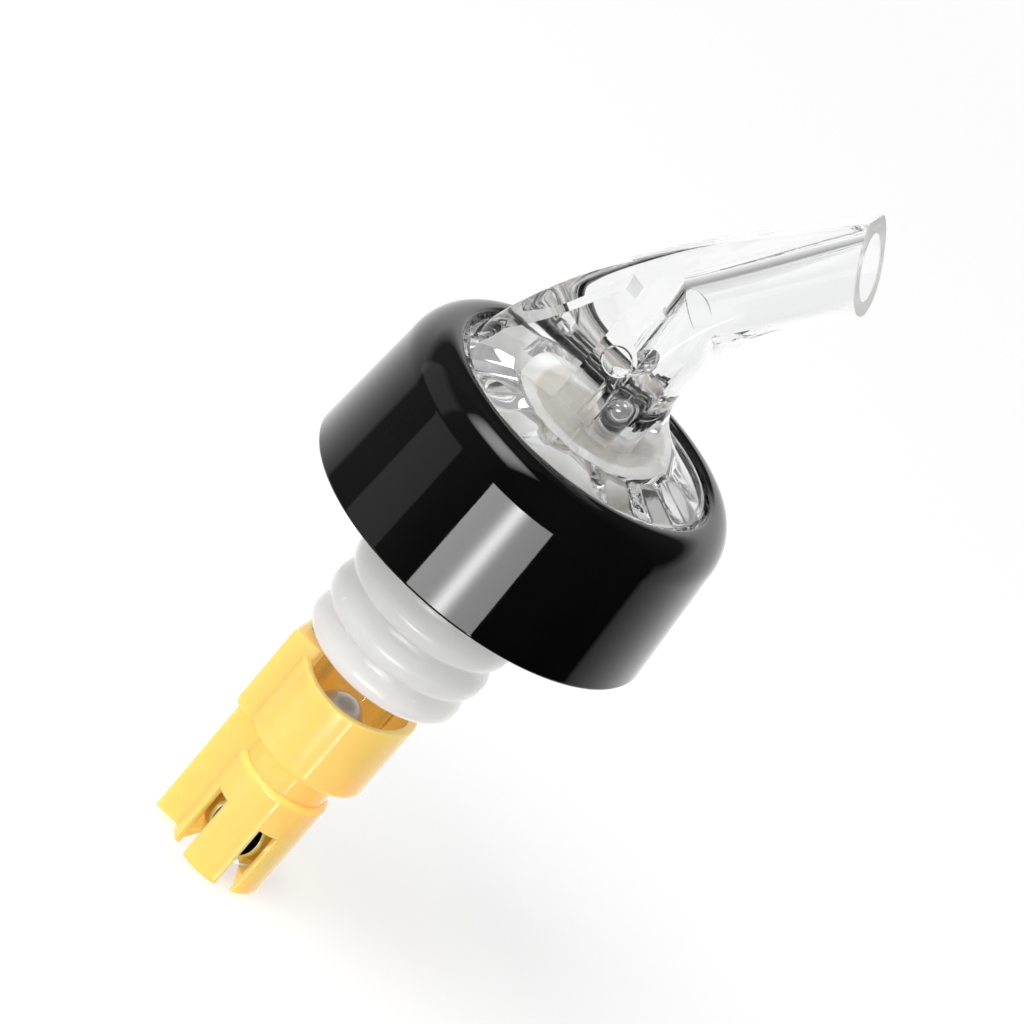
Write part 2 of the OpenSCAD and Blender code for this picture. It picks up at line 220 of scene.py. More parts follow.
def rod(name, start, end, radius, bevel=0.0, columns=128, rings=2):
    """A round rod between two points: rings of that radius square to the line.

    Where it has a bevel, a smaller ring closes each end.
    """
    start, end = np.asarray(start, float), np.asarray(end, float)
    length = np.linalg.norm(end - start)
    along = (end - start) / length
    side = np.cross(along, (0, 1, 0) if abs(along[1]) < 0.9 else (1, 0, 0))
    side /= np.linalg.norm(side)
    other = np.cross(along, side)
    a = np.linspace(0, 2 * np.pi, columns, endpoint=False)
    ring = np.outer(np.cos(a), side) + np.outer(np.sin(a), other)
    place = np.linspace(bevel, length - bevel, rings)
    size = np.full(rings, radius)
    if bevel:
        place = np.r_[0, place, length]
        size = np.r_[radius - bevel, size, radius - bevel]
    return capped_grid(name, start + along * place[:, None, None] + ring * size[:, None, None])


def bezier(points, t):
    """Cubic curve: the four points weighted by (1-t)^3, 3t(1-t)^2, 3t^2(1-t) and t^3."""
    s = 1 - t
    return points[0] * s**3 + points[1] * 3 * t * s**2 + points[2] * 3 * t**2 * s + points[3] * t**3


def horn_grid(rings=170, half=80):
    """Horn of the spout as rings from the rim of its flare to the mouth.

    At height t a section spans the line from the back curve to the front curve. A point p along that
    line, -1 at the back and 1 at the front, stands w*q to either side: q falls from 1 at p = 0.1 to a
    flat back of 0.55 along a cubic, rounded at its last tenth, and to the front along a quarter ellipse.
    Towards the foot the flare g = (1 - t / 0.28)^2.4 pulls both curves and w out to a circle.
    """
    t = (np.linspace(0, 1, rings) ** RING_CROWDING)[:, None]
    g = np.clip(1 - t / FLARE_END, 0, 1) ** FLARE_POWER
    back = bezier(BACK, t) - np.hstack([(FLARE_R + BACK[0, 0]) * g, 0 * g])
    front = bezier(FRONT, t) + np.hstack([(FLARE_R - FRONT[0, 0]) * g, 0 * g])
    a = np.linspace(0, np.pi, half)[None, :]
    p = -np.cos(a)
    flat_front = FLAT_FRONT + FLAT_FRONT_FOOT * g**FLAT_FRONT_POWER
    near_corner = np.clip((BACK_CORNER - 1 - p) / BACK_CORNER, 0, 1)
    corner = 1 - BACK_CORNER_DROP + BACK_CORNER_DROP * np.sqrt(1 - near_corner**2)
    to_back = corner * (1 - (1 - FLAT_BACK) * np.clip(1 - (p + 1) / (WIDEST + 1), 0, 1) ** 3)
    to_front = np.sqrt(1 - (1 - flat_front**2) * np.clip((p - WIDEST) / (1 - WIDEST), 0, 1) ** 2)
    q = np.where(p < WIDEST, to_back, to_front)
    q = q + (np.sin(a) - q) * FLARE_ROUND * g
    w = HORN_W + (FLARE_R - HORN_W) * g
    middle, reach = (back + front) / 2, (front - back) / 2
    x = middle[:, :1] + reach[:, :1] * p
    z = middle[:, 1:] + reach[:, 1:] * p
    near = np.stack([x, -w * q, z], -1)
    far = np.stack([x, w * q, z], -1)[:, ::-1]
    grid = np.concatenate([near, far], 1)
    return np.concatenate([grid[:1] - (0, 0, HORN_LAP), grid])


def combine(base, tool, operation):
    """base with the closed shape tool added (UNION) or taken away (DIFFERENCE); tool is used up."""
    step = base.modifiers.new("combine", "BOOLEAN")
    step.operation = operation
    step.solver = "EXACT"
    step.object = tool
    bpy.context.view_layer.update()
    shaped = base.evaluated_get(bpy.context.evaluated_depsgraph_get())
    done = bpy.data.meshes.new_from_object(shaped)
    base.modifiers.clear()
    old = base.data
    base.data = done
    bpy.data.meshes.remove(old)
    bpy.data.objects.remove(tool)


def smooth(piece, angle=28):
    """Smooth shading, with edges sharper than the angle kept crisp."""
    piece.data.shade_smooth()
    piece.data.set_sharp_from_angle(angle=math.radians(angle))


def stand_for(piece, node):
    """The piece moves with the pourer's body and stands for that solid, whose node is hidden."""
    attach(piece, "pourer")
    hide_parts(node)
    return piece


def collar_outer(z):
    """Radius of the collar's drafted outer wall at height z."""
    return RIM_R - (z - SKIRT_Z) * DRAFT


def collar_inner(z):
    """Radius of the collar's inner wall at height z."""
    return collar_outer(z) - WALL


def make_collar():
    """Black collar: a turned shell with a drafted wall, a round lip and a bead inside.

    Its shoulder follows a quarter ellipse that leaves the wall where the two slopes meet.
    """
    centre = (OPENING_R + LIP_EDGE, Z_TOP - SHOULDER)
    begin = math.atan(DRAFT * SHOULDER / (collar_outer(centre[1]) - centre[0]))
    shoulder_z = centre[1] + SHOULDER * math.sin(begin)
    reach = (collar_outer(shoulder_z) - centre[0]) / math.cos(begin)
    edge = (RIM_R - SKIRT_EDGE * (DRAFT + math.hypot(1, DRAFT)), SKIRT_Z + SKIRT_EDGE)
    first_z, second_z = SKIRT_Z + WALL_START[0], SKIRT_Z + WALL_START[1]
    wall_z = np.r_[first_z, np.linspace(second_z, shoulder_z - WALL_END, 12)]
    profile = np.vstack([
        [(collar_inner(SKIRT_Z) + SKIRT_BEVEL, SKIRT_Z)],
        arc(edge, (SKIRT_EDGE, SKIRT_EDGE), -90, math.degrees(math.atan(DRAFT)), 9),
        np.stack([collar_outer(wall_z), wall_z], -1),
        arc(centre, (reach, SHOULDER), math.degrees(begin), 90, 48),
        arc((centre[0], Z_TOP - LIP_EDGE), (LIP_EDGE, LIP_EDGE), 97, 180, 9),
        [
            (OPENING_R, Z_LIP),
            (collar_inner(Z_LIP), Z_LIP),
            (collar_inner(STEP_Z), STEP_Z),
            (BEAD_R, STEP_Z),
            (BEAD_R, STEP_Z - BEAD_LEN),
            (collar_inner(BEAD_FOOT_Z), BEAD_FOOT_Z),
            (collar_inner(SKIRT_Z + SKIRT_BEVEL), SKIRT_Z + SKIRT_BEVEL),
        ],
    ])
    piece = turned("collar_black", profile, 256)
    smooth(piece)
    return stand_for(piece, "collar")


def core_r(z):
    """Radius of the stopper's core at height z, which narrows downwards."""
    return LAND_R - CORE_DEPTH + CORE_TAPER * z / PLUG_LEN


def band(z, peak_r, rise):
    """Points (r, z) of a stopper band: its radius goes from the core to peak_r by the share rise."""
    return np.stack([core_r(z) + (peak_r - core_r(z)) * rise, z], -1)


def make_stopper():
    """White stopper: a turned plug of swelling bands, the lip flange above, and the breather tube's hole.

    Along a band t runs from 0 at its upper groove to 1 at its lower one. Its radius rises from the core
    by sin^2(pi (t - 0.1)) up to t = 0.6 and rounds in again along a quarter ellipse.
    """
    peak_r = LAND_R - RIB_DROP - RIB_TAPER * (np.arange(RIBS + 1) / RIBS) ** RIB_TAPER_POWER
    groove_z = END_LEN - PLUG_LEN + (RIBS - np.arange(RIBS + 1)) * RIB_PITCH
    up = RIB_PEAK * np.linspace(0, 1, 24, endpoint=False)
    over = RIB_PEAK + (1 - RIB_PEAK) * np.sin(np.linspace(0, np.pi / 2, 24, endpoint=False))
    rise_up = np.sin(np.pi * np.clip(up - RIB_START, 0, 1)) ** 2
    rise_over = np.sqrt(1 - ((over - RIB_PEAK) / (1 - RIB_PEAK)) ** 2)
    t, rise = np.r_[up, over][::-1], np.r_[rise_up, rise_over][::-1]
    end_z = groove_z[RIBS] - (END_LEN - END_ROUND) * up[::-1] / RIB_PEAK
    bands = [band(end_z, peak_r[RIBS], rise_up[::-1])]
    for k in range(RIBS - 1, -1, -1):
        bands.append(band(groove_z[k] - RIB_PITCH * t, peak_r[k], rise))
    neck_z = -LAND_LEN - LAND_EDGE
    end_centre = (peak_r[RIBS] - END_ROUND, END_ROUND - PLUG_LEN)
    profile = np.vstack([
        [(STOPPER_BORE, -PLUG_LEN)],
        arc(end_centre, (END_ROUND, END_ROUND), -90, 0, 17),
        *bands,
        [
            (core_r(neck_z), neck_z),
            (LAND_R - LAND_EDGE, neck_z),
            (LAND_R, -LAND_LEN),
            (LAND_R, 0),
            (SEAT_FACE_R, 0),
            (SEAT_FACE_R, STEP_Z),
            (STOPPER_FLANGE_R, STEP_Z),
            (STOPPER_FLANGE_R, FLANGE_Z),
            (HUB_R, FLANGE_Z),
            (HUB_R, SEAT_Z[0]),
            (STOPPER_BORE, SEAT_Z[0]),
        ],
    ])
    piece = turned("stopper_white", profile)
    hole_foot = (BREATHER_X, 0, -PLUG_LEN - BREATHER_OVERRUN)
    hole_head = (BREATHER_X, 0, FLANGE_Z + BREATHER_OVERRUN)
    combine(piece, rod("breather_hole", hole_foot, hole_head, BREATHER_HOLE_R), "DIFFERENCE")
    smooth(piece)
    return stand_for(piece, "stopper")


def make_spout():
    """Clear spout: a turned bell, a plug round the ball seat and the horn, less its bores and pocket.

    The hollow under the bell is a dome, z = -36.8 + sqrt(46.8^2 - r^2). Shallow flutes hang below it:
    a saw-tooth round the axis times half a sine wave outwards.
    """
    r = np.linspace(PLUG_R - PLUG_LAP, SKIRT_R, 32)
    bell = np.vstack([
        np.stack([r, HOLLOW_Z + np.sqrt(HOLLOW_R**2 - r**2)], -1),
        [
            (SKIRT_R, FLANGE_Z),
            (FLANGE_R, FLANGE_Z),
            (FLANGE_R, Z_LIP),
            (NECK_R, Z_LIP),
            (NECK_R, Z_RIM - RIM_BEVEL),
            (NECK_R - RIM_BEVEL, Z_RIM),
            (PLUG_R - PLUG_LAP, Z_RIM),
        ],
    ])
    columns = FLUTE_COLUMNS * FLUTES
    saw = np.abs(np.arange(columns) / FLUTE_COLUMNS % 1 * 2 - 1)
    lift = np.zeros((len(bell), columns))
    lift[: len(r)] = -FLUTE_DEPTH * np.outer(np.sin(np.pi * np.linspace(0, 1, len(r))), saw)
    piece = turned("spout_clear", bell, columns, lift)
    combine(piece, rod("plug", (0, 0, SEAT_Z[0]), (0, 0, Z_TOP + PLUG_RISE), PLUG_R, columns=192), "UNION")
    combine(piece, capped_grid("horn", horn_grid()), "UNION")
    along = (MOUTH - ELBOW) / np.linalg.norm(MOUTH - ELBOW)
    foot, head = ELBOW - POUR_LAP * along, MOUTH + POUR_OVERRUN * along
    pocket = np.array([[(x, y, z) for x, z in POCKET] for y in (POCKET_W / 2, -POCKET_W / 2)])
    for bore in (
        rod("seat", (0, 0, SEAT_Z[0] - CUT_LAP), (0, 0, SEAT_Z[1]), SEAT_R, columns=192),
        rod("riser", (RISER_X, 0, SEAT_Z[1] - CUT_LAP), (RISER_X, 0, RISER_TOP), RISER_R),
        rod("pour", (foot[0], 0, foot[1]), (head[0], 0, head[1]), POUR_R),
        capped_grid("pocket", pocket),
        rod("pin_hole", (PIN[0], PIN_Y[0], PIN[1]), (PIN[0], PIN_HOLE_END, PIN[1]), PIN_R + PIN_FIT),
        rod("vent", (VENT[0], 0, VENT[1]), (VENT[0], NECK_R, VENT[1]), VENT_R),
    ):
        combine(piece, bore, "DIFFERENCE")
    smooth(piece)
    return stand_for(piece, "spout")


def make_stop_pin():
    """Cross pin of the spout: a rod with a fine bevel.

    It has 60 rings, so that its welded length can be told from its bare length.
    """
    inner_end, outer_end = [(PIN[0], y, PIN[1]) for y in PIN_Y]
    piece = rod("stop_pin_clear", inner_end, outer_end, PIN_R, bevel=PIN_BEVEL, rings=60)
    smooth(piece)
    return stand_for(piece, "stop_pin")


def feed(tree, socket, value):
    """Links the socket to the output that feeds it, or sets it to a plain number or colour."""
    if isinstance(value, bpy.types.NodeSocket):
        tree.links.new(value, socket)
    else:
        socket.default_value = value


def add_node(tree, kind, inputs=(), **settings):
    """A new shader node of that kind with its settings; inputs go by name or number."""
    node = tree.nodes.new("ShaderNode" + kind)
    for name, value in settings.items():
        setattr(node, name, value)
    for key, value in dict(inputs).items():
        feed(tree, node.inputs[key], value)
    return node


def calc(tree, operation, a, b):
    """The sum, product or other result of two values."""
    return add_node(tree, "Math", {0: a, 1: b}, operation=operation).outputs[0]


def toward(tree, source, direction):
    """How far the source reaches in that direction: their dot product."""
    dot = add_node(tree, "VectorMath", {0: source, 1: direction}, operation="DOT_PRODUCT")
    return dot.outputs["Value"]


def ramp(tree, value, start, end, low, high, curve="LINEAR"):
    """Goes from low to high as the value goes from start to end."""
    inputs = {"Value": value, "From Min": start, "From Max": end, "To Min": low, "To Max": high}
    return add_node(tree, "MapRange", inputs, interpolation_type=curve).outputs["Result"]


def mixed_colour(tree, factor, first, second):
    """The colour that goes from first to second with the factor."""
    inputs = {"Factor": factor, 6: first, 7: second}
    return add_node(tree, "Mix", inputs, data_type="RGBA").outputs[2]


def object_place(tree):
    """Where a point lies on its piece, in metres."""
    return add_node(tree, "TexCoord").outputs["Object"]


def moulded_group():
    """Shader group of a moulded surface, made of three noises.

    Slow noise clouds the colour, finer noise varies the gloss, and the finest gives the grain's height.
    """
    group = bpy.data.node_groups.new("moulded_surface", "ShaderNodeTree")
    numbers = ("Cloud", "Cloud Scale", "Gloss Scale", "Grain Scale", "Roughness Low", "Roughness High")
    for in_out, kind, names in (
        ("INPUT", "NodeSocketColor", ("Colour", "Cloud Colour")),
        ("INPUT", "NodeSocketFloat", numbers),
        ("OUTPUT", "NodeSocketColor", ("Colour",)),
        ("OUTPUT", "NodeSocketFloat", ("Roughness", "Height")),
    ):
        for name in names:
            group.interface.new_socket(name, in_out=in_out, socket_type=kind)
    take = group.nodes.new("NodeGroupInput").outputs
    give = group.nodes.new("NodeGroupOutput").inputs
    place = object_place(group)

    def noise(scale, detail):
        """Noise of that scale and detail over the piece."""
        inputs = {"Vector": place, "Scale": take[scale], "Detail": detail}
        return add_node(group, "TexNoise", inputs).outputs["Fac"]

    cloud = ramp(group, noise("Cloud Scale", 2.0), 0.3, 0.7, 0.0, take["Cloud"])
    colour = mixed_colour(group, cloud, take["Colour"], take["Cloud Colour"])
    low, high = take["Roughness Low"], take["Roughness High"]
    feed(group, give["Colour"], colour)
    feed(group, give["Roughness"], ramp(group, noise("Gloss Scale", 3.0), 0.25, 0.75, low, high))
    feed(group, give["Height"], noise("Grain Scale", 2.0))
    return group


MOULDED = moulded_group()
GRAIN_HEIGHT = 0.02


def moulded(name, colour, cloud_colour, cloud, scales, roughness, bump, edge=0.0, **shader):
    """A material whose colour, gloss and grain come from the moulded surface.

    edge is the radius, in millimetres, to which the shading rounds corners; shader holds the plain
    sockets of its Principled BSDF.
    """
    material = bpy.data.materials.new(name)
    material.use_nodes = True
    tree = material.node_tree
    bsdf = tree.nodes["Principled BSDF"]
    inputs = {
        "Colour": (*colour, 1),
        "Cloud Colour": (*cloud_colour, 1),
        "Cloud": cloud,
        "Cloud Scale": scales[0],
        "Gloss Scale": scales[1],
        "Grain Scale": scales[2],
        "Roughness Low": roughness[0],
        "Roughness High": roughness[1],
    }
    surface = add_node(tree, "Group", inputs, node_tree=MOULDED, name="surface")
    grain = {"Strength": bump, "Distance": GRAIN_HEIGHT * MM, "Height": surface.outputs["Height"]}
    if edge:
        grain["Normal"] = add_node(tree, "Bevel", {"Radius": edge * MM}, samples=6).outputs["Normal"]
    feed(tree, bsdf.inputs["Base Color"], surface.outputs["Colour"])
    feed(tree, bsdf.inputs["Roughness"], surface.outputs["Roughness"])
    feed(tree, bsdf.inputs["Normal"], add_node(tree, "Bump", grain).outputs["Normal"])
    for socket, value in shader.items():
        bsdf.inputs[socket.replace("_", " ")].default_value = value
    return material


def see_through_where(material, share, colour=(1, 1, 1)):
    """Where share is 1 the material gives way to a plain see-through surface of that colour."""
    tree = material.node_tree
    clear = add_node(tree, "BsdfTransparent", {"Color": (*colour, 1)})
    own = tree.nodes["Principled BSDF"].outputs[0]
    mix = add_node(tree, "MixShader", {"Fac": share, 1: own, 2: clear.outputs[0]})
    feed(tree, tree.nodes["Material Output"].inputs["Surface"], mix.outputs[0])


def let_light_in(material, colour):
    """Lamps shine through the material: towards a lamp it is a see-through surface of that colour."""
    ray = add_node(material.node_tree, "LightPath")
    see_through_where(material, ray.outputs["Is Shadow Ray"], colour)
    return material


def satin_mouth(material, roughness, colour):
    """Gives the flat face at the tip of the horn that roughness and colour.

    The face is what lies within 0.1 mm of the mouth's plane.
    """
    tree = material.node_tree
    bsdf, surface = tree.nodes["Principled BSDF"], tree.nodes["surface"]
    along = toward(tree, object_place(tree), (MOUTH_WAY[0], 0, MOUTH_WAY[1]))
    face = calc(tree, "GREATER_THAN", along, (BACK[3] @ MOUTH_WAY - MOUTH_SKIN) * MM)
    rough = add_node(tree, "Mix", {"Factor": face, 2: surface.outputs["Roughness"], 3: roughness})
    tint = mixed_colour(tree, face, surface.outputs["Colour"], (*colour, 1))
    feed(tree, bsdf.inputs["Roughness"], rough.outputs[0])
    feed(tree, bsdf.inputs["Base Color"], tint)
    return material


def ring_coloured(material, colour, radius, blur=0.3):
    """Gives the material another colour outside that radius from the axis, in millimetres."""
    tree = material.node_tree
    own = tree.nodes["surface"].inputs["Colour"]
    flat = add_node(tree, "VectorMath", {0: object_place(tree), 1: (1, 1, 0)}, operation="MULTIPLY")
    away = add_node(tree, "VectorMath", {0: flat.outputs[0]}, operation="LENGTH").outputs["Value"]
    ring = ramp(tree, away, (radius - blur) * MM, (radius + blur) * MM, 0.0, 1.0, "SMOOTHSTEP")
    feed(tree, own, mixed_colour(tree, ring, tuple(own.default_value), (*colour, 1)))
    return material


def dress(piece, material):
    """Gives a piece or a CAD node one material in its only slot."""
    piece.data.materials.clear()
    piece.data.materials.append(material)


black_gloss = moulded(
    "black_gloss",
    colour=(0.0015, 0.0015, 0.0016),
    cloud_colour=(0.003, 0.003, 0.0032),
    cloud=1.0,
    scales=(60, 300, 1500),
    roughness=(0.02, 0.05),
    bump=0.04,
    IOR=1.5,
)
clear_plastic = moulded(
    "clear_plastic",
    colour=(0.97, 0.973, 0.973),
    cloud_colour=(0.96, 0.963, 0.963),
    cloud=1.0,
    scales=(120, 200, 400),
    roughness=(0.0, 0.02),
    bump=0.08,
    IOR=1.49,
    Transmission_Weight=1.0,
)
satin_mouth(clear_plastic, 0.4, (0.72, 0.73, 0.73))
let_light_in(clear_plastic, (0.95, 0.95, 0.95))
milky_plastic = moulded(
    "milky_plastic",
    colour=(0.60, 0.58, 0.54),
    cloud_colour=(0.54, 0.515, 0.47),
    cloud=0.6,
    scales=(260, 500, 1500),
    roughness=(0.2, 0.32),
    bump=0.05,
    IOR=1.5,
    Subsurface_Weight=1.0,
    Subsurface_Radius=(1.0, 0.92, 0.84),
    Subsurface_Scale=6 * MM,
)
ring_coloured(milky_plastic, (0.96, 0.955, 0.945), 6.2)
let_light_in(milky_plastic, (0.85, 0.85, 0.85))
white_plastic = moulded(
    "white_plastic",
    colour=(0.655, 0.655, 0.645),
    cloud_colour=(0.615, 0.615, 0.61),
    cloud=0.6,
    scales=(150, 400, 2500),
    roughness=(0.2, 0.28),
    bump=0.08,
    edge=0.3,
    IOR=1.5,
    Subsurface_Weight=1.0,
    Subsurface_Radius=(1.0, 1.0, 1.0),
    Subsurface_Scale=12 * MM,
)
# Painted light: outside 10.8 mm the stopper's seat face and flange are painted whiter than its body, so
# that they look lit where they lie in the shade of the collar and the bell
ring_coloured(white_plastic, (0.95, 0.95, 0.94), 10.8)
let_light_in(white_plastic, (0.9, 0.9, 0.9))
yellow_plastic = moulded(
    "yellow_plastic",
    colour=(1.0, 0.595, 0.178),
    cloud_colour=(0.99, 0.56, 0.158),
    cloud=0.6,
    scales=(140, 400, 1800),
    roughness=(0.11, 0.18),
    bump=0.05,
    edge=0.35,
    IOR=1.5,
    Subsurface_Weight=0.9,
    Subsurface_Radius=(1.0, 0.85, 0.4),
    Subsurface_Scale=2.5 * MM,
)
let_light_in(yellow_plastic, (1.0, 0.96, 0.85))
steel = moulded(
    "steel",
    colour=(0.66, 0.66, 0.67),
    cloud_colour=(0.60, 0.60, 0.61),
    cloud=0.7,
    scales=(300, 900, 4000),
    roughness=(0.05, 0.1),
    bump=0.04,
    Metallic=1.0,
)
dull_steel = moulded(
    "dull_steel",
    colour=(0.62, 0.62, 0.61),
    cloud_colour=(0.56, 0.56, 0.56),
    cloud=0.7,
    scales=(300, 900, 4000),
    roughness=(0.14, 0.22),
    bump=0.06,
    Metallic=0.8,
)


def make_seam():
    """The welded seam between the pin and the spout, which light crosses as if they were one piece."""
    seam = bpy.data.materials.new("welded_seam")
    seam.use_nodes = True
    seam.node_tree.nodes["Principled BSDF"].inputs["Alpha"].default_value = 0
    return seam


def face_centres(piece):
    """Middle of each face, in millimetres, as x, y and z."""
    centres = np.empty(len(piece.data.polygons) * 3)
    piece.data.polygons.foreach_get("center", centres)
    return (centres.reshape(-1, 3) / MM).T


def weld(spout, pin):
    """Puts the seam on the faces of the pin and of its hole that touch.

    They lie about the pin's radius from its axis, between the hole's end and the horn's side, and
    outside the riser. The length of the pin that crosses the riser stays bare.
    """
    seam = make_seam()
    for piece in (spout, pin):
        piece.data.materials.append(seam)
        x, y, z = face_centres(piece)
        touching = np.hypot(x - PIN[0], z - PIN[1]) < PIN_R + SEAM_SLACK
        touching &= (y < PIN_Y[0] + SEAM_END_SLACK) & (y > -HORN_W + SEAM_BARE_END)
        touching &= np.hypot(x - RISER_X, y) > RISER_R - SEAM_RISER_SLACK
        if piece is pin:
            touching &= y > PIN_Y[1] + SEAM_BARE_END
        piece.data.polygons.foreach_set("material_index", touching.astype(np.int32))


collar = make_collar()
stopper = make_stopper()
spout = make_spout()
stop_pin = make_stop_pin()
for piece, material in (
    (collar, black_gloss),
    (stopper, white_plastic),
    (spout, clear_plastic),
    (stop_pin, clear_plastic),
    (cad_nodes["ball_seat"], milky_plastic),
    (cad_nodes["measuring_tube"], clear_plastic),
    (cad_nodes["breather_tube"], clear_plastic),
    (cad_nodes["metering_tail"], yellow_plastic),
    (cad_nodes["spout_ball"], steel),
    (cad_nodes["timing_ball"], dull_steel),
    (cad_nodes["reset_ball"], steel),
):
    dress(piece, material)
weld(spout, stop_pin)

# Camera of the photograph: the axis's angle in the picture, the height above the collar's plane and the
# turn about the axis; then focal length, frame and rim's middle in pixels, and its distance
PICTURE_ANGLE = math.radians(49.56)
HEIGHT_ANGLE = math.radians(23.04)
TURN = math.radians(6.5)
FOCAL = 7444.0
FRAME_SIZE = 1024.0
RIM_PIXEL = np.array([482.0, 544.6])
DISTANCE = 750.6
SENSOR = 36


def camera_axes():
    """The pourer's X, Y and Z axes as seen by the camera (right, down, forward)."""
    z = np.array([
        math.cos(PICTURE_ANGLE) * math.cos(HEIGHT_ANGLE),
        -math.sin(PICTURE_ANGLE) * math.cos(HEIGHT_ANGLE),
        -math.sin(HEIGHT_ANGLE),
    ])
    across = np.array([math.sin(PICTURE_ANGLE), math.cos(PICTURE_ANGLE), 0])
    near = np.cross(z, across)
    near = near if near[2] < 0 else -near
    x = math.cos(TURN) * across + math.sin(TURN) * near
    return x, np.cross(z, x), z


def place_camera():
    """Camera whose picture holds the middle of the collar's lower rim at its measured pixel.

    The direction in which it looks is given back.
    """
    x, y, z = camera_axes()
    sight = np.append((RIM_PIXEL - FRAME_SIZE / 2) / FOCAL, 1) * DISTANCE
    origin = sight - SKIRT_Z * z
    place = -np.array([x @ origin, y @ origin, z @ origin]) * MM
    right, down, forward = np.array([x, y, z]).T
    turn = Matrix((right, -down, -forward)).transposed().to_4x4()
    data = bpy.data.cameras.new("camera")
    data.sensor_width = SENSOR
    data.lens = FOCAL / FRAME_SIZE * SENSOR
    data.clip_start, data.clip_end = 0.01, 20
    camera = bpy.data.objects.new("camera", data)
    camera.matrix_world = Matrix.Translation(Vector(place)) @ turn
    scene.collection.objects.link(camera)
    scene.camera = camera
    return Vector(forward)


gaze = place_camera()
level = Vector((gaze.x, gaze.y, 0)).normalized()
UP = Vector((0, 0, 1))


def turned_level(degrees):
    """The level direction away from the camera, turned to the right by that many degrees."""
    return Matrix.Rotation(math.radians(-degrees), 3, "Z") @ level


def way(degrees, height):
    """The direction that many degrees right of the camera's level gaze, at that height angle."""
    tilt = math.radians(height)
    return turned_level(degrees) * math.cos(tilt) + UP * math.sin(tilt)


# What gloss sees of the studio: turns in degrees right of the camera's gaze, and levels of light
WALL_TURN = 4
WALL_EDGE_LEVEL = 0.4
WALL_MIDDLE_LEVEL = 0.9
WALL_ABOVE_TOP = 0.05
WALL_TOP_SLOPE = 0.73
WINDOW_TURN = -120.5
WINDOW_LEVEL = 0.42
PANEL_TURN = -92
PANEL_LEVEL = 0.38
SIDE_TURN = -90
SIDE_LEVEL = 0.13
SOFT_LEVEL = 0.42
BEHIND_LEVEL = 0.42


def make_world():
    """White studio: white for the camera, a plain level for soft light, white through clear plastic.

    Gloss sees a white wall behind the object, with a level top, and to the left of it a dim panel and a
    dim window in a darker side; the right side is black.
    """
    world = bpy.data.worlds.new("studio")
    scene.world = world
    world.use_nodes = True
    tree = world.node_tree
    ray = add_node(tree, "LightPath").outputs
    sky = add_node(tree, "TexCoord").outputs["Generated"]
    flat = add_node(tree, "VectorMath", {0: sky, 1: (1, 1, 0)}, operation="MULTIPLY").outputs[0]
    compass = add_node(tree, "VectorMath", {0: flat}, operation="NORMALIZE").outputs[0]

    def within(value, *limits):
        """The value times a ramp of another one, given as for ramp."""
        return calc(tree, "MULTIPLY", value, ramp(tree, *limits))

    def choose(test, yes, no):
        """yes where the test is 1, and no where it is 0."""
        rest = calc(tree, "SUBTRACT", 1.0, test)
        return calc(tree, "ADD", calc(tree, "MULTIPLY", test, yes), calc(tree, "MULTIPLY", rest, no))

    def turn_toward(degrees):
        """How far a direction, taken level, points to that turn."""
        return toward(tree, compass, turned_level(degrees))

    height = toward(tree, sky, UP)
    ahead = turn_toward(WALL_TURN)
    below_top = toward(tree, sky, (turned_level(WALL_TURN) * WALL_TOP_SLOPE - UP).normalized())
    wall_edge = ramp(tree, ahead, 0.11, 0.17, 0.0, WALL_EDGE_LEVEL)
    wall = calc(tree, "ADD", wall_edge, ramp(tree, ahead, 0.17, 0.8, 0.0, WALL_MIDDLE_LEVEL))
    wall = within(wall, below_top, -0.06, 0.14, WALL_ABOVE_TOP, 1.0)
    window = ramp(tree, turn_toward(WINDOW_TURN), 0.9655, 0.9705, 0.0, WINDOW_LEVEL)
    window = within(window, height, -0.17, -0.12, 1.0, 0.0)
    panel = ramp(tree, turn_toward(PANEL_TURN), 0.93, 0.95, 0.0, PANEL_LEVEL)
    panel = within(panel, height, -0.1, -0.05, 0.0, 1.0)
    panel = within(panel, height, 0.42, 0.58, 1.0, 0.0)
    side = ramp(tree, turn_toward(SIDE_TURN), 0.2, 0.9, 0.0, SIDE_LEVEL)
    gloss = calc(tree, "ADD", calc(tree, "ADD", wall, side), calc(tree, "ADD", window, panel))
    through = ramp(tree, toward(tree, sky, gaze), 0.2, 0.9, BEHIND_LEVEL, 1.0)
    strength = choose(ray["Is Glossy Ray"], gloss, SOFT_LEVEL)
    strength = choose(ray["Is Transmission Ray"], through, strength)
    strength = choose(ray["Is Camera Ray"], 1.0, strength)
    ground = tree.nodes["Background"]
    ground.inputs["Color"].default_value = (1, 1, 1, 1)
    feed(tree, ground.inputs["Strength"], strength)


FLOOR_SPAN = 1500
FLOOR_GAP = 0.3
FLOOR_GREY = 0.42
FLOOR_GLOW = (0.51, 0.85)
FLOOR_GLOW_REACH = (0.3, 1.2)


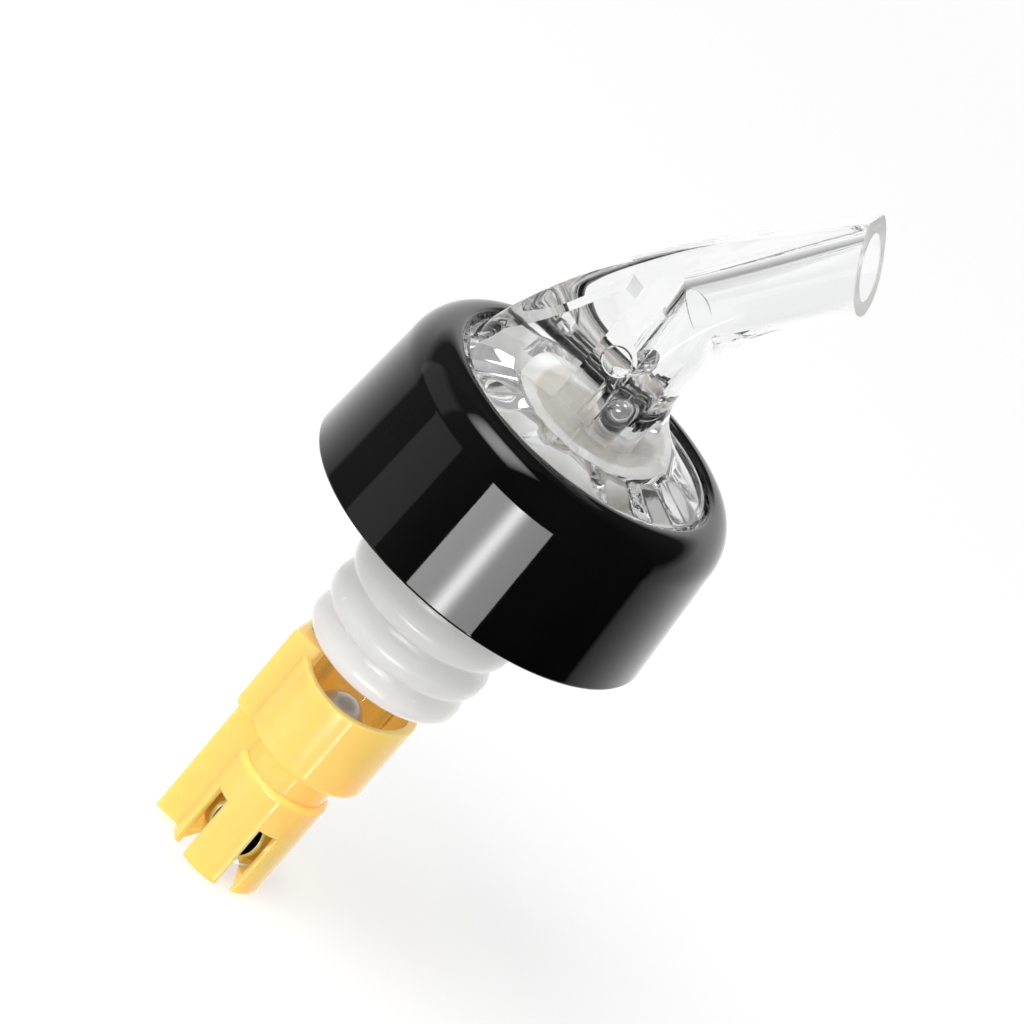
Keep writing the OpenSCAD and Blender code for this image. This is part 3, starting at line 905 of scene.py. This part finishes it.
def make_floor():
    """Pale floor under the tail, lit as paper.

    Some light of its own makes the background white and leaves the shadow. It grows with the distance
    from the pourer, in metres, as the lamps fade. From below the floor is see-through, so that the
    underside of the pourer can be looked at.
    """
    low = cad_low.z / MM - FLOOR_GAP
    corners = [(x * FLOOR_SPAN, y * FLOOR_SPAN, low) for x, y in ((-1, -1), (1, -1), (1, 1), (-1, 1))]
    floor = mesh_piece("floor", corners, [(0, 1, 2, 3)])
    material = bpy.data.materials.new("floor_paper")
    material.use_nodes = True
    tree = material.node_tree
    bsdf = tree.nodes["Principled BSDF"]
    bsdf.inputs["Base Color"].default_value = (FLOOR_GREY, FLOOR_GREY, FLOOR_GREY, 1)
    bsdf.inputs["Roughness"].default_value = 1
    bsdf.inputs["Specular IOR Level"].default_value = 0
    bsdf.inputs["Emission Color"].default_value = (1, 1, 1, 1)
    away = add_node(tree, "VectorMath", {0: object_place(tree)}, operation="LENGTH").outputs["Value"]
    glow = ramp(tree, away, *FLOOR_GLOW_REACH, *FLOOR_GLOW, "SMOOTHSTEP")
    feed(tree, bsdf.inputs["Emission Strength"], glow)
    see_through_where(material, add_node(tree, "NewGeometry").outputs["Backfacing"])
    floor.data.materials.append(material)
    floor.visible_glossy = False


CARD_AWAY = 250
CARD_REACH = 230
CARD_FADE = (5.0, 8.5)
STRIP_HALF = 101.5
KEY_WAY = way(-138, 53)
KEY_SIDE = UP.cross(KEY_WAY).normalized()
LAMP_AWAY = 900
RIGHT = turned_level(90)
NEAR = turned_level(180)


def glow_card(name, centre, across, upward, shine, through=False, focus=None):
    """A card that only gloss sees, or clear plastic too where through is set.

    Its points are centre + u * across + v * upward, lit by shine(u, v), for u and v from -1 to 1. Where it
    has a focus they are drawn in to 230 mm from it, and its light reaches a few millimetres past the
    focus and no further, so that only the side of the pourer that faces the card shows it.
    """
    count = 61
    u, v = np.meshgrid(np.linspace(-1, 1, count), np.linspace(-1, 1, count))
    points = np.array(centre) + u[..., None] * np.array(across) + v[..., None] * np.array(upward)
    if focus is not None:
        away = points - np.array(focus)
        points = np.array(focus) + CARD_REACH * away / np.linalg.norm(away, axis=-1, keepdims=True)
    i, j = np.meshgrid(np.arange(count - 1), np.arange(count - 1), indexing="ij")
    first = (i * count + j).ravel()
    faces = np.stack([first, first + 1, first + count + 1, first + count], -1).tolist()
    card = mesh_piece(name, points.reshape(-1, 3), faces)
    light_level = card.data.attributes.new("shine", "FLOAT", "POINT")
    light_level.data.foreach_set("value", shine(u, v).ravel().astype(np.float32))
    material = bpy.data.materials.new(name)
    material.use_nodes = True
    tree = material.node_tree
    tree.nodes.remove(tree.nodes["Principled BSDF"])
    strength = add_node(tree, "Attribute", attribute_name="shine").outputs["Fac"]
    if focus is not None:
        length = add_node(tree, "LightPath").outputs["Ray Length"]
        start, end = [(CARD_REACH + past) * MM for past in CARD_FADE]
        strength = ramp(tree, length, start, end, strength, 0.0)
    light = add_node(tree, "Emission", {"Strength": strength})
    feed(tree, tree.nodes["Material Output"].inputs["Surface"], light.outputs[0])
    card.data.materials.append(material)
    card.visible_camera = card.visible_diffuse = card.visible_shadow = False
    card.visible_transmission = through


def strip_shine(u, v):
    """Level of the collar's strip: it falls off a little to the right, with a bright line along it."""
    return 6.1 - 0.9 * u + 13 * np.exp(-(((STRIP_HALF * u + 6.5) / 20) ** 2))


def tail_shine(u, v):
    """Level of the tail's strip: brightest along its middle."""
    return 6 + 14 * np.exp(-((1.2 * u) ** 2))


def streak_shine(u, v):
    """Level of the shoulder's streak: it fades to nothing at the card's edges."""
    return 6 * (1 - u**2) * (1 - v**4)


def lamp(name, direction, size, power):
    """A square soft lamp in that direction, turned to the pourer; gloss sees the cards instead."""
    data = bpy.data.lights.new(name, "AREA")
    data.shape = "SQUARE"
    data.size = size * MM
    data.energy = power
    light = bpy.data.objects.new(name, data)
    turn = (-direction).to_track_quat("-Z", "Y").to_matrix().to_4x4()
    light.matrix_world = Matrix.Translation(direction * LAMP_AWAY * MM) @ turn
    light.visible_glossy = light.visible_transmission = False
    scene.collection.objects.link(light)


make_world()
make_floor()
glow_card(
    "collar_strip",
    centre=NEAR * CARD_AWAY + RIGHT * 23.5 - UP * 96,
    across=RIGHT * STRIP_HALF - UP * 8,
    upward=UP * 50,
    shine=strip_shine,
    focus=NEAR * RIM_R - UP,
)
glow_card(
    "tail_strip",
    centre=NEAR * CARD_AWAY + RIGHT * 129 - UP * 170,
    across=RIGHT * 7,
    upward=UP * 35,
    shine=tail_shine,
)
glow_card(
    "shoulder_streak",
    centre=KEY_WAY * 890,
    across=KEY_SIDE * 340,
    upward=KEY_WAY.cross(KEY_SIDE) * 290,
    shine=streak_shine,
    through=True,
)
lamp("key", KEY_WAY, 520, 7.0)
lamp("fill", way(176, 26), 700, 4.1)
lamp("back", way(10, 38), 600, 2.0)

scene.view_settings.view_transform = "Standard"
scene.cycles.use_denoising = True
scene.cycles.max_bounces = 32
scene.cycles.transmission_bounces = 32
scene.cycles.transparent_max_bounces = 24
scene.cycles.glossy_bounces = 16

bpy.context.view_layer.update()
